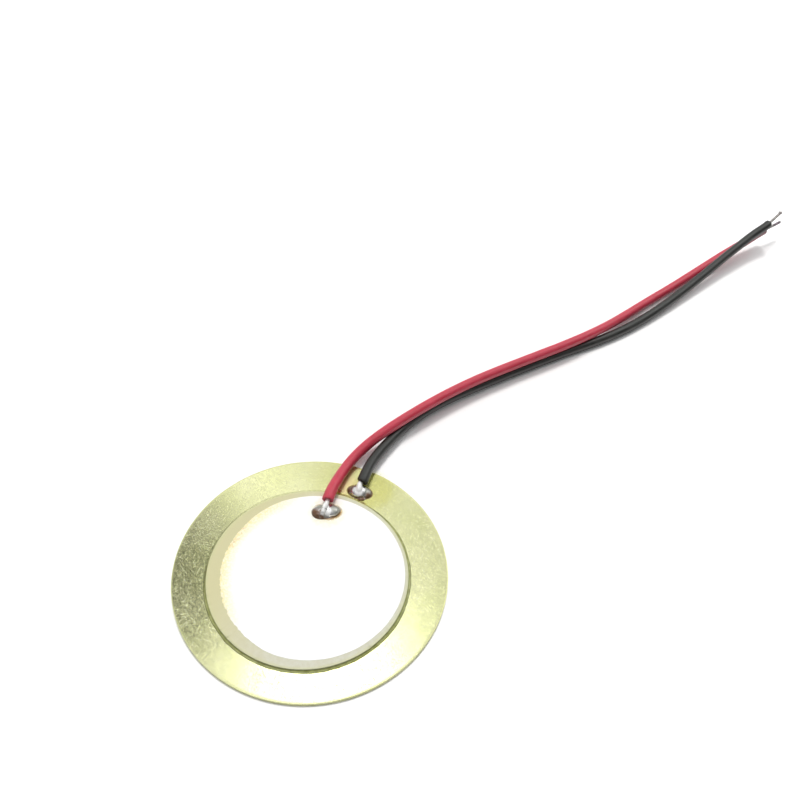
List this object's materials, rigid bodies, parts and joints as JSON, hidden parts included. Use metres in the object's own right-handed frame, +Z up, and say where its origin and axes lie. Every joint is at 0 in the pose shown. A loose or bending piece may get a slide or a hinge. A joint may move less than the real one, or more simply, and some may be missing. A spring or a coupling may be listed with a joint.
{
  "type": "piezo disc",
  "caption": "Round brass plate with a thin silvered ceramic disc glued on off-centre, and a red and a black lead soldered to its electrode and its rim.",
  "frame": {"origin": "centre of the brass plate's underside", "axes": "+Z up out of the ceramic side, +Y from the plate's centre towards the solder joints, +X to the right seen from above"},
  "size_m": [0.0743, 0.0748, 0.0042],
  "materials": {
    "brass": "rolled sheet, lightly tarnished, satin",
    "bond": "thin clear glue, darkened",
    "ceramic": "matt, unglazed",
    "silver": "fired silver film, matt white",
    "solder": "bright, smooth",
    "flux": "dried rosin, amber, glossy",
    "red_jacket": "soft PVC, satin",
    "black_jacket": "soft PVC, satin",
    "tinned_copper": "tinned strands"
  },
  "bodies": {
    "root": {"brass_plate": "brass", "bond_layer": "bond", "lower_electrode": "silver", "ceramic_disc": "ceramic", "upper_electrode": "silver", "solder_joint_red": "solder", "solder_joint_black": "solder", "flux_residue_red": "flux", "flux_residue_black": "flux", "red_insulation": "red_jacket", "red_conductor": "tinned_copper", "black_insulation": "black_jacket", "black_conductor": "tinned_copper"}
  },
  "joints": []
}
